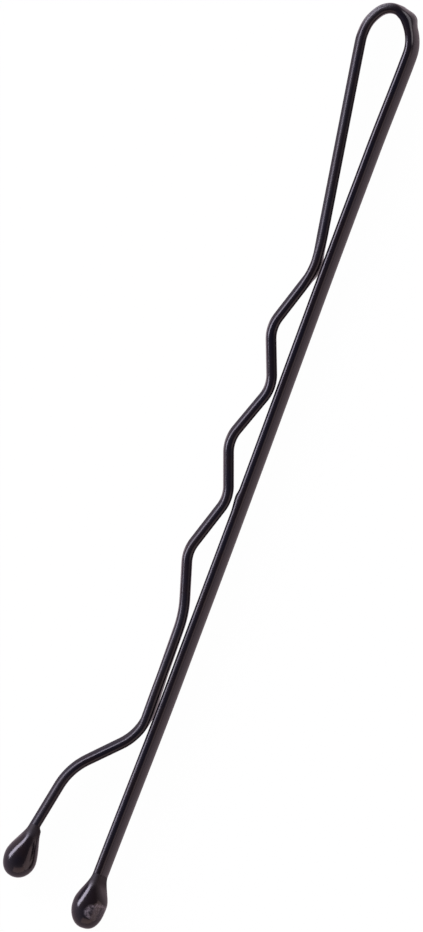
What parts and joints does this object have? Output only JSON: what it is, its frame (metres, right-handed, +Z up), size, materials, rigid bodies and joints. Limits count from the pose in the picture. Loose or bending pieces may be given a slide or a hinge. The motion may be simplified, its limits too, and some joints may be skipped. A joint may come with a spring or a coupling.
{
  "type": "bobby pin",
  "caption": "Black bobby pin of flat spring wire: a straight leg, a round bow and a crimped leg that springs against it, flared at the toe, with dipped resin tips.",
  "frame": {"origin": "middle of the pin's box, on the surface that it lies on", "axes": "+Y along the straight leg towards the bow, +X from the crimped leg towards the straight leg, +Z up, across the wire's width"},
  "size_m": [0.006, 0.05, 0.0019],
  "materials": {
    "enamelled_wire": "black baked enamel over flat spring-steel wire, smooth and glossy",
    "dipped_resin": "black dipped resin drop, glossy, a little worn at the end"
  },
  "bodies": {
    "straight_leg": {"straight_leg": "enamelled_wire", "straight_tip": "dipped_resin"},
    "bow_straight_side": {"bow_straight_side": "enamelled_wire"},
    "bow_arm_side": {"bow_arm_side": "enamelled_wire"},
    "spring_arm": {"spring_arm": "enamelled_wire"},
    "crimp_1": {"crimp_1": "enamelled_wire"},
    "crimp_2": {"crimp_2": "enamelled_wire"},
    "crimp_3": {"crimp_3": "enamelled_wire"},
    "toe": {"grip_run": "enamelled_wire", "flared_toe": "enamelled_wire", "toe_tip": "dipped_resin"}
  },
  "joints": [
    {"name": "bow_foot_flex", "type": "hinge", "parent": "straight_leg", "child": "bow_straight_side", "pos_m": [0.00252, 0.02283, 0.00093], "axis": [0, 0, -1], "range_deg": [0, 0.9], "stiffness_Nm_per_rad": 2.773},
    {"name": "bow_crown_flex", "type": "hinge", "parent": "bow_straight_side", "child": "bow_arm_side", "pos_m": [0.00072, 0.02501, 0.00093], "axis": [0, 0, -1], "range_deg": [0, 1.8], "stiffness_Nm_per_rad": 1.335},
    {"name": "arm_flex", "type": "hinge", "parent": "bow_arm_side", "child": "spring_arm", "pos_m": [-0.00073, 0.0225, 0.00093], "axis": [0, 0, -1], "range_deg": [0, 3.6], "stiffness_Nm_per_rad": 0.53},
    {"name": "crimp_1_flex", "type": "hinge", "parent": "spring_arm", "child": "crimp_1", "pos_m": [0.00101, 0.01191, 0.00093], "axis": [0, 0, -1], "range_deg": [0, 4.5], "stiffness_Nm_per_rad": 0.401},
    {"name": "crimp_2_flex", "type": "hinge", "parent": "crimp_1", "child": "crimp_2", "pos_m": [0.00099, 0.00487, 0.00093], "axis": [0, 0, -1], "range_deg": [0, 2.7], "stiffness_Nm_per_rad": 0.53},
    {"name": "crimp_3_flex", "type": "hinge", "parent": "crimp_2", "child": "crimp_3", "pos_m": [0.00092, -0.00127, 0.00093], "axis": [0, 0, -1], "range_deg": [0, 2.15], "stiffness_Nm_per_rad": 0.563},
    {"name": "toe_flex", "type": "hinge", "parent": "crimp_3", "child": "toe", "pos_m": [0.00082, -0.00739, 0.00093], "axis": [0, 0, -1], "range_deg": [0, 2.35], "stiffness_Nm_per_rad": 0.328}
  ]
}
